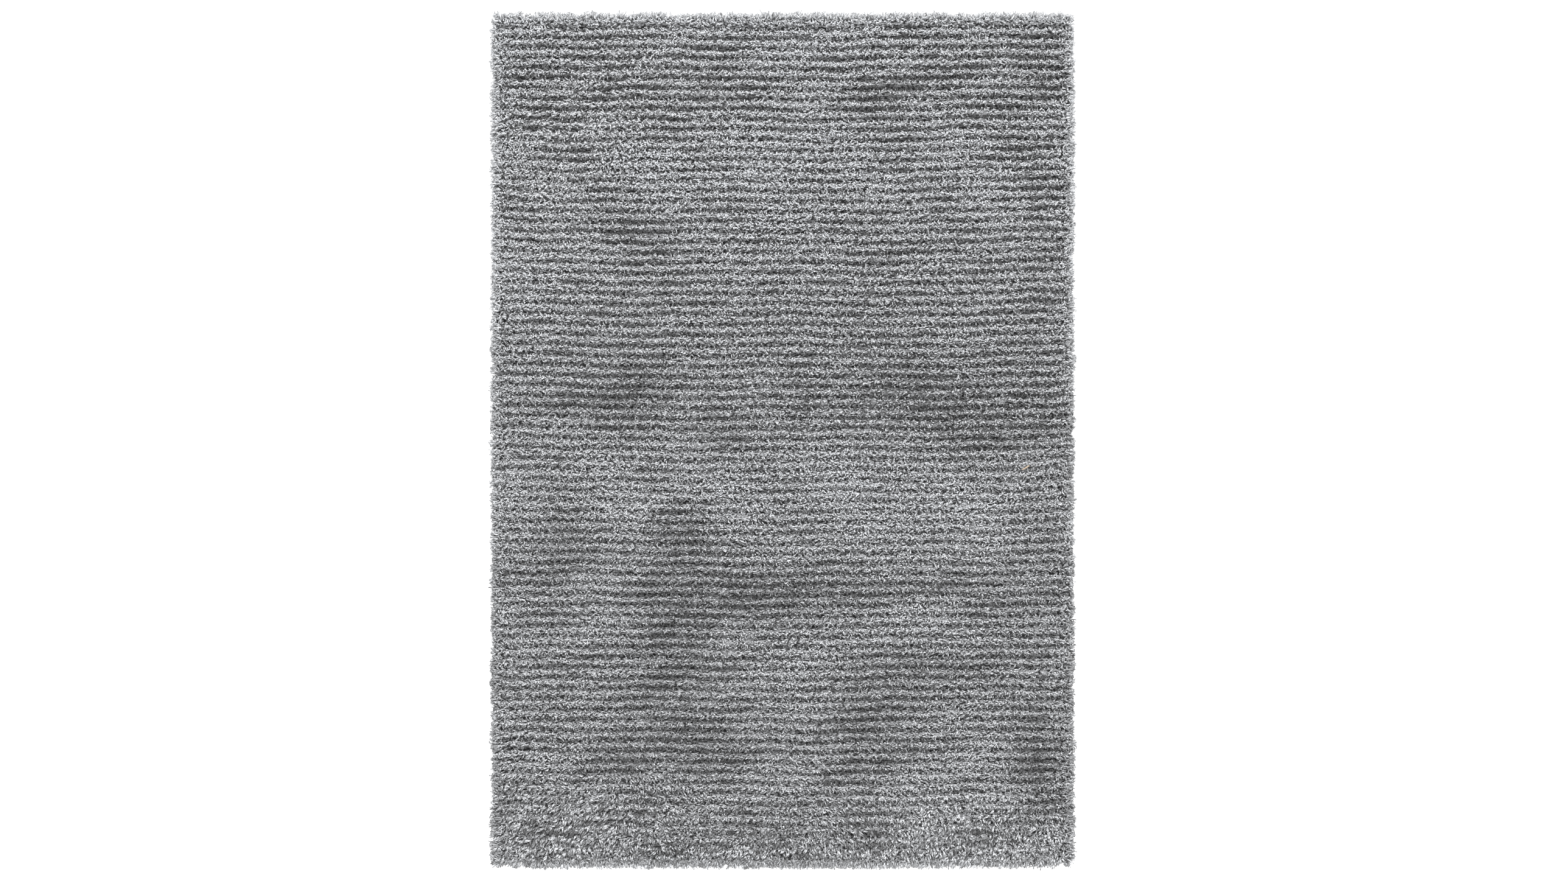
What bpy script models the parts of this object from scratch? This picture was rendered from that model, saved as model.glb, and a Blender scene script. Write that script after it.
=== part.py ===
"""Shag rug, nominally 160 x 230 cm, lying flat with its pile up.

The rug is woven in one piece, so it is one solid: a lumpy slab whose top is raised into the rows of
the pile, with locks of pile that hang outward and down to the floor all round its rim. The origin is
the centre of the underside, +X runs across the rug along its rows, +Y along its length and +Z up, in
metres.
"""

import math
from typing import NamedTuple

import bmesh
import bpy
from mathutils import Vector


class Wave(NamedTuple):
    """One slow sine wave over the rug: its lengths along X and Y, its start in turns and its height."""

    across: float
    along: float
    phase: float
    size: float


# The woven ground and the rows of pile on it.
GROUND_WIDTH = 1.572
GROUND_LENGTH = 2.300
ROWS = 82
ROW_PITCH = GROUND_LENGTH / ROWS

# The whole rug, over the tips of the locks.
RUG_WIDTH = 1.600
RUG_LENGTH = 2.336

# Heights above the floor.
CREST_HEIGHT = 0.0365
FURROW_HEIGHT = 0.0275
RIM_HEIGHT = 0.0230

# How far the pile's shoulder lies inside the ground's edge, how far its foot is drawn in, and how far
# a row's end bulges over the rug's long side.
SHOULDER = 0.020
FOOT_INSET = 0.005
SIDE_BULGE = 0.0015

# The slab's faces: even columns between the two shoulders, and the rim faces along one column's end.
COLUMNS = 19
RIM_FACES_PER_COLUMN = 7

# The rows lie a little closer in the far half: the middle one is this much nearer the far end.
ROW_DRIFT = 0.017

# What bends the rows sideways, and what lifts and sinks the pile where it was rolled and trodden.
WANDER = (
    Wave(across=0.740, along=1.900, phase=0.10, size=0.0022),
    Wave(across=0.310, along=-0.860, phase=0.55, size=0.0015),
    Wave(across=0.173, along=0.410, phase=0.30, size=0.0009),
)
LUMPS = (
    Wave(across=1.330, along=0.920, phase=0.20, size=0.0014),
    Wave(across=0.470, along=-0.610, phase=0.70, size=0.0012),
    Wave(across=-0.230, along=0.290, phase=0.45, size=0.0010),
)

# How far single tufts stand above or below their row. The golden ratio spreads them evenly.
TUFT_LIFT = 0.0016
GOLDEN = 0.6180339887

# A lock is a wall face drawn out to a knee and then to a tip. The knee's place is a share of the
# lock's reach, its size a share of the face and its height a share of the rim's.
KNEE_REACH = 0.55
KNEE_SCALE = 0.58
KNEE_HEIGHT = 0.56
KNEE_SWAY = 0.33
LEAST_REACH = 0.62
TIP_SWAY = 0.004
LOWEST_TIP = 0.001
HIGHEST_TIP = 0.005

YARN_GREY = (0.235, 0.240, 0.248, 1.0)
YARN_ROUGHNESS = 0.85


def sum_of_waves(waves, x, y):
    """The sum of sine waves that run slantwise over the rug, at one place."""
    return sum(
        wave.size * math.sin(math.tau * (x / wave.across + y / wave.along + wave.phase))
        for wave in waves
    )


def spread(number):
    """A share from 0 to 1 that looks random and is the same each time."""
    return (number * GOLDEN) % 1.0


def line_level(line):
    """The height of a line of the top: furrows are the even lines, crests the odd, rims the last."""
    if line in (0, 2 * ROWS):
        return RIM_HEIGHT
    return CREST_HEIGHT if line % 2 else FURROW_HEIGHT


def row_shift(x, y):
    """How far a row that belongs at y has moved along the rug, at distance x across it."""
    return ROW_DRIFT * (1 - (2 * y / GROUND_LENGTH) ** 2) + sum_of_waves(WANDER, x, y)


def top_point(x, line):
    """A point of the slab's top, on a crest, furrow or rim line at distance x across the rug."""
    nominal = line * ROW_PITCH / 2 - GROUND_LENGTH / 2
    on_rim = line in (0, 2 * ROWS)
    y = nominal if on_rim else nominal + row_shift(x, nominal)
    return Vector((x, y, line_level(line) + sum_of_waves(LUMPS, x, nominal)))


def tuft_point(x, line, column):
    """A point of the top between the rims, where the tufts of one row differ in height."""
    point = top_point(x, line)
    point.z += TUFT_LIFT * (2 * spread(line * COLUMNS + column) - 1)
    return point


def side_point(side, line):
    """A point where a line runs down over the rug's long side. Crests bulge a little over it."""
    bulge = SIDE_BULGE if line % 2 else 0.0
    point = top_point(side * GROUND_WIDTH / 2, line)
    point.x += side * bulge
    point.z += RIM_HEIGHT - line_level(line) + bulge
    return point


def column_places():
    """Distances across the rug of the columns between the shoulders, from left to right."""
    inner = GROUND_WIDTH / 2 - SHOULDER
    return [inner * (2 * i / COLUMNS - 1) for i in range(COLUMNS + 1)]


def end_rim_places():
    """Distances across the rug of the finer points along an end, from left to right."""
    columns = column_places()
    places = [-GROUND_WIDTH / 2]
    for left, right in zip(columns, columns[1:]):
        step = (right - left) / RIM_FACES_PER_COLUMN
        places += [left + step * i for i in range(RIM_FACES_PER_COLUMN)]
    return places + [columns[-1], GROUND_WIDTH / 2]


def add_top(mesh):
    """The ribbed top. Returns its rim as four runs of vertices: left, far end, right, near end."""
    columns = column_places()
    lines = []
    for line in range(1, 2 * ROWS):
        inner = [tuft_point(x, line, column) for column, x in enumerate(columns)]
        points = [side_point(-1, line), *inner, side_point(1, line)]
        lines.append([mesh.verts.new(point) for point in points])
    for near, far in zip(lines, lines[1:]):
        for i in range(len(near) - 1):
            mesh.faces.new((near[i], near[i + 1], far[i + 1], far[i]))
    near_rim, far_rim = (
        [mesh.verts.new(top_point(x, line)) for x in end_rim_places()] for line in (0, 2 * ROWS)
    )
    join_end(mesh, lines[0], near_rim)
    join_end(mesh, lines[-1], far_rim, flipped=True)
    left = [line[0] for line in lines]
    right = [line[-1] for line in lines]
    return left, far_rim, right[::-1], near_rim[::-1]


def join_end(mesh, line, rim, flipped=False):
    """Fills the strip between an outermost crest and the finer points of its rim."""
    counts = [1] + [RIM_FACES_PER_COLUMN] * COLUMNS + [1]
    start = 0
    for i, count in enumerate(counts):
        outer = rim[start : start + count + 1]
        ring = outer + [line[i + 1], line[i]]
        mesh.faces.new(ring[::-1] if flipped else ring)
        start += count


def foot_point(rim_point):
    """The point on the floor below a point of the rim, drawn in from the ground's edge."""
    widest = GROUND_WIDTH / 2 - FOOT_INSET
    longest = GROUND_LENGTH / 2 - FOOT_INSET
    x = max(-widest, min(widest, rim_point.x))
    y = max(-longest, min(longest, rim_point.y))
    return Vector((x, y, 0.0))


def add_walls(mesh, runs):
    """The drawn-in side walls and the flat underside. Returns the wall faces in order round the rug."""
    rim = [vertex for run in runs for vertex in run]
    foot = [mesh.verts.new(foot_point(vertex.co)) for vertex in rim]
    walls = []
    for i in range(len(rim)):
        j = (i + 1) % len(rim)
        walls.append(mesh.faces.new((rim[i], rim[j], foot[j], foot[i])))
    mesh.faces.new(foot)
    return walls


def add_lock(mesh, wall, number):
    """Draws a wall face out into one lock: a knee that droops, then a tip just above the floor."""
    share = spread(number)
    sway = TIP_SWAY * (2 * spread(number * number) - 1)
    root = wall.calc_center_median()
    rim_height = 2 * root.z
    edge = wall.loops[0].edge
    away = Vector((wall.normal.x, wall.normal.y, 0.0)).normalized()
    along = (edge.verts[1].co - edge.verts[0].co).normalized()
    reach = free_reach(root, away) * (LEAST_REACH + (1 - LEAST_REACH) * share)
    knee_face = bmesh.ops.extrude_discrete_faces(mesh, faces=[wall])["faces"][0]
    knee = root + away * reach * KNEE_REACH + along * sway * KNEE_SWAY
    knee.z = rim_height * KNEE_HEIGHT
    for vertex in knee_face.verts:
        vertex.co = knee + (vertex.co - root) * KNEE_SCALE
    tip = bmesh.ops.poke(mesh, faces=[knee_face])["verts"][0]
    tip.co = root + away * reach + along * sway
    tip.co.z = HIGHEST_TIP + (LOWEST_TIP - HIGHEST_TIP) * share


def free_reach(root, away):
    """How far a lock rooted here may reach before its tip passes the rug's overall size."""
    room = (RUG_WIDTH / 2 - abs(root.x), RUG_LENGTH / 2 - abs(root.y))
    return min(gap / abs(part) for gap, part in zip(room, away.xy) if part)


def yarn_material():
    """Matt grey polyester yarn."""
    material = bpy.data.materials.new("grey_yarn")
    material.use_nodes = True
    shader = material.node_tree.nodes["Principled BSDF"]
    shader.inputs["Base Color"].default_value = YARN_GREY
    shader.inputs["Roughness"].default_value = YARN_ROUGHNESS
    shader.inputs["Metallic"].default_value = 0.0
    return material


def make_rug():
    """The whole rug as one closed solid, with a lock on every other face of its wall."""
    mesh = bmesh.new()
    runs = add_top(mesh)
    walls = add_walls(mesh, runs)
    bmesh.ops.recalc_face_normals(mesh, faces=mesh.faces)
    for number, wall in enumerate(walls[::2]):
        add_lock(mesh, wall, number)
    bmesh.ops.triangulate(mesh, faces=mesh.faces)
    bmesh.ops.recalc_face_normals(mesh, faces=mesh.faces)
    data = bpy.data.meshes.new("rug")
    mesh.to_mesh(data)
    mesh.free()
    data.materials.append(yarn_material())
    rug = bpy.data.objects.new("rug", data)
    bpy.context.scene.collection.objects.link(rug)


def main():
    for thing in list(bpy.data.objects):
        bpy.data.objects.remove(thing)
    make_rug()


main()
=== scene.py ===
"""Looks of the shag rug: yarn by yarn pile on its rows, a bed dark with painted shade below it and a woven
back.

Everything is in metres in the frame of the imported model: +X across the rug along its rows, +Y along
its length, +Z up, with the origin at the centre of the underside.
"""

import math
from typing import NamedTuple

import bpy
import numpy as np
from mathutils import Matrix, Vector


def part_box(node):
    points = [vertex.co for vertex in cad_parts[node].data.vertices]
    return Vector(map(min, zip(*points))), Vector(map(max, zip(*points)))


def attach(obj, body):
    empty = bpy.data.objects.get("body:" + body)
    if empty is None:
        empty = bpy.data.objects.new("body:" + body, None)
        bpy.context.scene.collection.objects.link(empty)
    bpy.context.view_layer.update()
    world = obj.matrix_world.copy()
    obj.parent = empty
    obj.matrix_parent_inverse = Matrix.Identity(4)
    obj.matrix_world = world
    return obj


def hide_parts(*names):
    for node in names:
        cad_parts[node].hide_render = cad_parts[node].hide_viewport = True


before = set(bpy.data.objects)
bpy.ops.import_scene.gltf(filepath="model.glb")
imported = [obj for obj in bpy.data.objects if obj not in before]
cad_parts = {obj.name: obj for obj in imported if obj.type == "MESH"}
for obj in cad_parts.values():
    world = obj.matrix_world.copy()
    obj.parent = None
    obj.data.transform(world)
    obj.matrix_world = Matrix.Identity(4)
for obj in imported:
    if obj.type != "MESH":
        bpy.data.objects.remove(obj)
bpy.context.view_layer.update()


class Wave(NamedTuple):
    """One slow sine wave over the rug: its lengths along X and Y, its start in turns and its height."""

    across: float
    along: float
    phase: float
    size: float


class Patch(NamedTuple):
    """A soft patch of the rug: its middle and its half sizes."""

    x: float
    y: float
    wide: float
    high: float


class Cloud(NamedTuple):
    """A soft patch of painted light on the pile, or painted shade where its tone is below 0: its middle, its
    half sizes and how much lighter it is.
    """

    x: float
    y: float
    wide: float
    high: float
    tone: float


class Lean(NamedTuple):
    """A soft patch where the pile lies one way: its middle, half sizes, heading in degrees and pull."""

    x: float
    y: float
    wide: float
    high: float
    heading: float
    pull: float


# The woven ground and its rows. Their drift is a sum of powers of the place along the rug, which is -1
# at its near end and 1 at its far end, and their bow lifts both of a row's ends.
GROUND_WIDTH = 1.572
GROUND_LENGTH = 2.300
ROWS = 82
ROW_PITCH = GROUND_LENGTH / ROWS
ROW_DRIFT = (0.0024, 0.0133, -0.0076, -0.0071)
ROW_BOW = 0.0071
WANDER = (
    Wave(across=0.740, along=1.900, phase=0.10, size=0.0022),
    Wave(across=0.310, along=-0.860, phase=0.55, size=0.0015),
    Wave(across=0.173, along=0.410, phase=0.30, size=0.0009),
)
LUMPS = (
    Wave(across=1.330, along=0.920, phase=0.20, size=0.0014),
    Wave(across=0.470, along=-0.610, phase=0.70, size=0.0012),
    Wave(across=-0.230, along=0.290, phase=0.45, size=0.0010),
)

# The lengths and heights of the small waves that bend each row by itself.
ROW_JITTER = ((0.230, 0.0014), (0.098, 0.0015), (0.052, 0.0010))

# How far the pile may reach: the solid's own size, and a little past it for stray tips. Some stray less
# far than others. A knee or tip stays so many yarn radii above the floor.
RUG_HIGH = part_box("rug")[1]
STRAY = 0.005
STRAY_SPREAD = 0.004
FLOOR_RADII = 1.2

# The bed of pile roots that the yarns stand in, dark with painted shade: the heights of its crests,
# furrows, rim and flat underside, how far its rim is rounded and lies inside the ground's edge, and its
# grid. Where the pile is combed one way, its ridges sink most of the way to one low level.
BED_CREST = 0.0290
BED_FURROW = 0.0160
BED_RIM = 0.0200
BED_FOOT = 0.0030
BED_ROUND = 0.014
BED_INSET = 0.004
BED_COLUMNS = 48
BED_LINES_PER_ROW = 4
COMBED_SINK = 0.7
COMBED_RIDGE = 0.2

# The ground cloth under it, as wide and long as the solid's underside, and its grid.
CLOTH_WIDTH = GROUND_WIDTH - 0.010
CLOTH_LENGTH = GROUND_LENGTH - 0.010
CLOTH_THICKNESS = 0.0024
CLOTH_COLUMNS = 8
CLOTH_LINES = 12
THREAD_PITCH = 0.0036

# The tan snip that lies on the pile. Each rib is its place along the snip, how far it bends aside, its
# rise and its half width.
SNIP_MIDDLE = (0.662, -0.075)
SNIP_HEADING = 31.0
SNIP_LEVEL = 0.0380
SNIP_THICKNESS = 0.0010
SNIP_RIBS = (
    (-0.0120, 0.0003, -0.0020, 0.0010),
    (-0.0070, 0.0001, 0.0000, 0.0018),
    (-0.0010, -0.0002, 0.0008, 0.0020),
    (0.0060, -0.0001, 0.0004, 0.0018),
    (0.0120, 0.0003, -0.0018, 0.0010),
)

# A yarn: its length and radius, how far along it its knee lies, and how wide a blunt tip or the edges of
# a short yarn are, as shares of its radius. A share of the yarns have a knee and the rest are wedges.
YARN_LENGTH = 0.0175
YARN_RADIUS = 0.0019
KNEE_PLACE = 0.62
TIP_SHARE = 0.7
WEDGE_SHARE = 0.8
BENT_SHARE = 0.5

# The pile on top is made in this many pieces.
PILE_PIECES = 5

SEED = 7
rng = np.random.default_rng(SEED)

# Clouds of painted light and shade on the pile, placed after the photo.
LIGHT_AND_SHADE_CLOUDS = (
    Cloud(-0.30, -0.66, 0.50, 0.50, -0.09),
    Cloud(0.00, 0.70, 0.90, 0.25, 0.07),
    Cloud(0.55, -0.62, 0.30, 0.30, -0.06),
    Cloud(0.00, -0.60, 3.00, 0.70, -0.08),
    Cloud(-0.34, 0.75, 0.15, 0.09, 0.36),
    Cloud(-0.03, 0.77, 0.13, 0.12, 0.30),
    Cloud(0.14, 0.72, 0.10, 0.12, 0.15),
    Cloud(0.48, 0.79, 0.15, 0.10, 0.18),
    Cloud(0.52, 0.66, 0.09, 0.09, 0.15),
    Cloud(-0.63, 0.47, 0.10, 0.09, 0.17),
    Cloud(-0.07, 0.48, 0.13, 0.07, 0.11),
    Cloud(-0.42, -0.17, 0.18, 0.06, 0.11),
    Cloud(-0.15, -0.14, 0.11, 0.07, 0.15),
    Cloud(0.16, -0.08, 0.15, 0.08, 0.18),
    Cloud(0.47, -0.17, 0.17, 0.08, 0.18),
    Cloud(0.25, -0.24, 0.15, 0.09, 0.11),
    Cloud(0.35, -0.49, 0.16, 0.06, 0.17),
    Cloud(0.08, -0.62, 0.09, 0.09, 0.15),
    Cloud(-0.53, -0.74, 0.07, 0.06, 0.11),
    Cloud(0.39, -0.97, 0.19, 0.08, 0.11),
    Cloud(0.54, -0.72, 0.08, 0.10, 0.09),
    Cloud(0.06, 1.05, 0.13, 0.05, 0.18),
    Cloud(-0.72, 0.10, 0.06, 1.00, 0.07),
    Cloud(0.00, -1.08, 1.20, 0.14, -0.19),
    Cloud(0.00, 1.08, 0.70, 0.10, 0.14),
    Cloud(-0.76, 0.95, 0.05, 0.25, 0.16),
    Cloud(0.80, -0.50, 0.16, 0.90, -0.14),
    Cloud(-0.80, -0.50, 0.16, 0.70, -0.14),
    Cloud(0.31, 0.96, 0.10, 0.05, -0.36),
    Cloud(0.68, 1.00, 0.07, 0.06, -0.26),
    Cloud(-0.21, 0.97, 0.12, 0.06, -0.18),
    Cloud(-0.57, 0.97, 0.13, 0.06, -0.11),
    Cloud(-0.44, 0.57, 0.15, 0.05, -0.18),
    Cloud(0.29, 0.53, 0.11, 0.05, -0.11),
    Cloud(0.70, 0.51, 0.05, 0.26, -0.18),
    Cloud(-0.40, 0.14, 0.09, 0.10, -0.30),
    Cloud(-0.57, 0.09, 0.11, 0.06, -0.21),
    Cloud(-0.17, 0.03, 0.08, 0.06, -0.26),
    Cloud(0.04, 0.11, 0.06, 0.11, -0.18),
    Cloud(0.35, 0.10, 0.17, 0.12, -0.29),
    Cloud(0.60, 0.03, 0.15, 0.09, -0.26),
    Cloud(-0.61, -0.30, 0.08, 0.13, -0.29),
    Cloud(-0.29, -0.26, 0.08, 0.08, -0.30),
    Cloud(-0.05, -0.42, 0.24, 0.08, -0.32),
    Cloud(-0.31, -0.45, 0.11, 0.15, -0.20),
    Cloud(0.33, -0.41, 0.25, 0.05, -0.18),
    Cloud(-0.28, -0.64, 0.13, 0.14, -0.18),
    Cloud(-0.17, -0.84, 0.15, 0.08, -0.26),
    Cloud(-0.42, -0.87, 0.11, 0.07, -0.18),
    Cloud(0.21, -0.80, 0.13, 0.17, -0.34),
    Cloud(0.39, -0.62, 0.17, 0.05, -0.18),
    Cloud(0.69, -0.89, 0.05, 0.10, -0.33),
    Cloud(0.05, 0.72, 0.30, 0.15, 0.06),
    Cloud(-0.40, 0.43, 0.15, 0.14, -0.12),
    Cloud(0.00, 0.14, 1.50, 0.14, -0.08),
    Cloud(-0.55, 0.18, 0.25, 0.14, -0.05),
    Cloud(0.55, -0.43, 0.25, 0.14, -0.10),
    Cloud(-0.45, -0.74, 0.25, 0.14, -0.12),
    Cloud(0.60, -0.74, 0.25, 0.15, -0.11),
)

# Where the pile is combed one way: along the near end, and a little in the far left corner.
LEANS = (
    Lean(-0.60, -1.06, 0.42, 0.15, 232.0, 0.90),
    Lean(0.45, -1.10, 0.55, 0.12, 276.0, 0.80),
    Lean(-0.05, -1.15, 0.70, 0.05, 256.0, 0.90),
    Lean(-0.60, 0.85, 0.25, 0.25, 205.0, 0.40),
)


def sum_of_waves(waves, x, y):
    """The sum of sine waves that run slantwise over the rug, at many places."""
    return sum(w.size * np.sin(math.tau * (x / w.across + y / w.along + w.phase)) for w in waves)


def row_shift(x, y):
    """How far a row that belongs at y has moved along the rug."""
    along = 2 * y / GROUND_LENGTH
    across = 2 * x / GROUND_WIDTH
    drift = sum(size * along**power for power, size in enumerate(ROW_DRIFT))
    return drift + ROW_BOW * across**2 + sum_of_waves(WANDER, x, y)


def patch_strength(patch, x, y):
    """1 in a soft patch's middle, falling to 0 well outside it."""
    return np.exp(-(((x - patch.x) / patch.wide) ** 2) - ((y - patch.y) / patch.high) ** 2)


def combed_share(x, y):
    """How much of the pile at a place lies the one way that the patches give it."""
    return np.clip(sum(lean.pull * patch_strength(lean, x, y) for lean in LEANS), 0, 1)


def bed_height(x, nominal):
    """The bed's top at distance x across the rug, on the line that belongs at nominal."""
    turn = (nominal + GROUND_LENGTH / 2) / ROW_PITCH
    ridge = 0.5 - 0.5 * np.cos(math.tau * turn)
    ridge += COMBED_SINK * combed_share(x, nominal) * (COMBED_RIDGE - ridge)
    height = BED_FURROW + (BED_CREST - BED_FURROW) * ridge + sum_of_waves(LUMPS, x, nominal)
    to_side = GROUND_WIDTH / 2 - BED_INSET - np.abs(x)
    to_end = GROUND_LENGTH / 2 - BED_INSET - np.abs(nominal)
    inside = np.clip(np.minimum(to_side, to_end) / BED_ROUND, 0.0, 1.0)
    rounded = np.sqrt(1 - (1 - inside) ** 2)
    return BED_RIM + (height - BED_RIM) * rounded


def new_mesh(name, points, corners, sizes, material, uv=None, smooth=True):
    """A mesh object from flat arrays: its points, its faces' corners and each face's corner count."""
    mesh = bpy.data.meshes.new(name)
    mesh.vertices.add(len(points))
    mesh.vertices.foreach_set("co", np.asarray(points, np.float32).ravel())
    mesh.loops.add(len(corners))
    mesh.loops.foreach_set("vertex_index", np.asarray(corners, np.int32))
    starts = np.concatenate([[0], np.cumsum(sizes)[:-1]])
    mesh.polygons.add(len(sizes))
    mesh.polygons.foreach_set("loop_start", np.asarray(starts, np.int32))
    mesh.polygons.foreach_set("loop_total", np.asarray(sizes, np.int32))
    mesh.polygons.foreach_set("use_smooth", np.full(len(sizes), smooth))
    if uv is not None:
        layer = mesh.uv_layers.new(name="OFBake")
        layer.uv.foreach_set("vector", np.asarray(uv, np.float32).ravel())
    mesh.update(calc_edges=True)
    mesh.validate()
    mesh.materials.append(material)
    thing = bpy.data.objects.new(name, mesh)
    bpy.context.scene.collection.objects.link(thing)
    return thing


# ---------------------------------------------------------------- fields and factors over the rug


def flat_vectors(angle):
    """Unit vectors in the floor's plane, at a heading."""
    return np.stack([np.cos(angle), np.sin(angle)], axis=-1)


def heading_vectors(angle, rise):
    """Unit vectors at a heading in the floor's plane and an angle above it."""
    level = np.cos(rise)
    return np.stack([level * np.cos(angle), level * np.sin(angle), np.sin(rise)], axis=-1)


def ripples(x, y, lengths, count=5):
    """A soft random field, about 1 high, of sine waves in random directions."""
    field = np.zeros_like(x)
    for length in lengths:
        for _ in range(count):
            angle = rng.random() * math.pi
            start = rng.random()
            run = x * math.cos(angle) + y * math.sin(angle)
            field += np.sin(math.tau * (run / length + start))
    return field / math.sqrt(count * len(lengths) / 2)


def edge_share(distance, reach):
    """1 on the ground's edge, falling to 0 inside it."""
    return np.exp(-np.clip(distance, 0, None) / reach)


def cloud_light_and_shade(x, y):
    """How much lighter the clouds' painted light and shade make the pile at each place."""
    return sum(cloud.tone * patch_strength(cloud, x, y) for cloud in LIGHT_AND_SHADE_CLOUDS)


def row_jitter(row, x):
    """Small bends of each row by itself, from sine waves with random starts."""
    bend = np.zeros_like(x)
    for length, size in ROW_JITTER:
        start = rng.random(ROWS)[row]
        bend += size * np.sin(math.tau * (x / length + start))
    return bend


def even_spread(row, step):
    """Numbers from -1 to 1 that spread evenly over each row's yarns, and differ from yarn to yarn."""
    return 2 * np.mod(np.arange(len(row)) * step + rng.random(ROWS)[row], 1.0) - 1


def vary(total, stray, least, most, middle=1.0):
    """Random factors round a middle one, held between the least and the most."""
    return np.clip(rng.normal(middle, stray, total), least, most)


# ---------------------------------------------------------------- yarns


class Yarns(NamedTuple):
    """Many yarns, as arrays: each one's root, knee, tip, radius, roll, tone and spared painted root shade.
    """

    root: np.ndarray
    knee: np.ndarray
    tip: np.ndarray
    radius: np.ndarray
    roll: np.ndarray
    tone: np.ndarray
    spared_root_shade: np.ndarray


def gather(points, group, share):
    """Draws the points of each group some way towards the group's middle."""
    sizes = np.maximum(np.bincount(group), 1)
    middles = np.stack([np.bincount(group, part) / sizes for part in points.T], axis=-1)
    return points + share * (middles[group] - points)


def lock_draws(lock, count):
    """Some random numbers for each lock, as each of its yarns has them."""
    return rng.normal(0, 1, (count, lock.max() + 1))[:, lock]


def bend_yarns(root, angle, rises, curl, length):
    """The knees and tips of yarns that rise at two angles and curl aside at the knee."""
    knee = root + heading_vectors(angle, rises[0]) * (KNEE_PLACE * length)[:, None]
    tip = knee + heading_vectors(angle + curl, rises[1]) * ((1 - KNEE_PLACE) * length)[:, None]
    return knee, tip


def keep_inside(yarns):
    """Holds every yarn above the floor, and shortens one that would stray too far past the solid."""
    past = STRAY - rng.random(len(yarns.root)) * STRAY_SPREAD
    share = np.ones(len(yarns.root))
    for part in (yarns.knee, yarns.tip):
        for axis in (0, 1):
            half = RUG_HIGH[axis]
            over = np.abs(part[:, axis]) > half + past
            limit = np.sign(part[over, axis]) * (half + past[over])
            start = yarns.root[over, axis]
            share[over] = np.minimum(share[over], (limit - start) / (part[over, axis] - start))
    for part in (yarns.knee, yarns.tip):
        part[:, :2] = yarns.root[:, :2] + share[:, None] * (part[:, :2] - yarns.root[:, :2])
        part[:, 2] = np.clip(part[:, 2], FLOOR_RADII * yarns.radius, RUG_HIGH.z + past)
    return yarns


def pick(yarns, which):
    """Some of the yarns."""
    return Yarns(*(part[which] for part in yarns))


# ---------------------------------------------------------------- the pile on top


class LockKind(NamedTuple):
    """The flat locks that a row's pile parts into: how many lines of them it holds, and their length."""

    lines: int
    length: float


# The tufts along a row, the yarns of one tuft, how far their roots keep from the ground's edge, how much
# they stray and how deep in the bed they lie. The rows' drift fades out over the last bit of the rug.
TUFT_STEP = 0.0090
TUFT_SPAN = GROUND_WIDTH - 0.008
YARNS_PER_TUFT = 10
ROOT_MARGIN = 0.002
ROOT_STRAY = 0.0008
ROOT_DEPTH = 0.0015
END_FADE = 0.014

# How far off its row's middle a yarn is rooted at most. The roots crowd towards the middle, more so for
# each metre towards the far end, and combing undoes some of that.
ROOT_SPREAD = 0.0138
CROWD = 0.22
FAR_CROWD = 0.25
COMBED_SPREAD = 0.6

# Two steps, the powers of 1 / 1.3247, that spread places and tones evenly and apart from each other.
PLACE_STEP = 0.7548776662
TONE_STEP = 0.5698402910

# The locks, bigger where the pile is combed one way, how much combing that takes, and how their lines
# sway. A lock's yarns share some of its turn, tone, lift and size.
ROW_LOCKS = LockKind(lines=6, length=0.011)
COMBED_LOCKS = LockKind(lines=4, length=0.0100)
COMBED_ENOUGH = 0.35
LOCK_SWAY = 0.0018
LOCK_SWAY_LENGTH = 0.043
LOCK_LIFT = 0.0008

# How a yarn on top heads: how many degrees its lock and the yarn by itself turn, and how strongly it
# strays at random and fans out from its row's middle. About half of the yarns lie backward, and waves of
# these lengths change that.
LOCK_TURN = 20
YARN_TURN = 16
WILD = 0.50
FAN = 0.55
BACKWARD_SWING = 0.22
BACKWARD_RIPPLES = (0.34, 0.61)

# How strongly the ground's edge pulls the pile outward, and how far in. Each yarn feels at least a share.
SIDE_PULL = 1.5
SIDE_PULL_REACH = 0.009
END_PULL = 2.3
END_PULL_REACH = 0.007
LEAST_PULL = 0.3

# How a yarn on top stands, in degrees: how steeply its lower part rises, how far its upper part bends
# down from that, and how far it curls aside. Each has what it varies by from yarn to yarn.
RISE = 50
RISE_STRAY = 14
BEND = 50
BEND_STRAY = 16
CURL_STRAY = 58

# How that changes where the pile is combed and at the edge: less rise and curl, more length and, where
# it is combed, thicker yarns.
COMBED_RISE = 12
COMBED_CURL = 0.5
COMBED_LENGTH = 0.35
COMBED_LENGTH_STRAY = 0.18
COMBED_RADIUS = 0.30
EDGE_RISE = 0.45
EDGE_CURL = 0.4
EDGE_LENGTH = 0.25

# How far the knees and tips are drawn to their lock's middle, and how much more where it is combed.
KNEE_GATHER = 0.08
COMBED_KNEE_GATHER = 0.10
TIP_GATHER = 0.16
COMBED_TIP_GATHER = 0.54

# The tone of a yarn on top, from 0 for the darkest to 1 for the palest, and how its lock and combing
# change it.
TONE = 0.765
LOCK_TONE = 0.060
COMBED_LOCK_TONE = 0.08
COMBED_TONE = -0.10

# How much the tone differs from yarn to yarn. It differs most in the crisp patch, and less where the
# pile is soft, combed or at the edge.
CRISP_PATCH = Patch(0.20, 0.20, 0.75, 0.95)
GRAIN = 0.408
SOFT_GRAIN = 0.272
COMBED_GRAIN = 0.65
EDGE_GRAIN = 0.4
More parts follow.
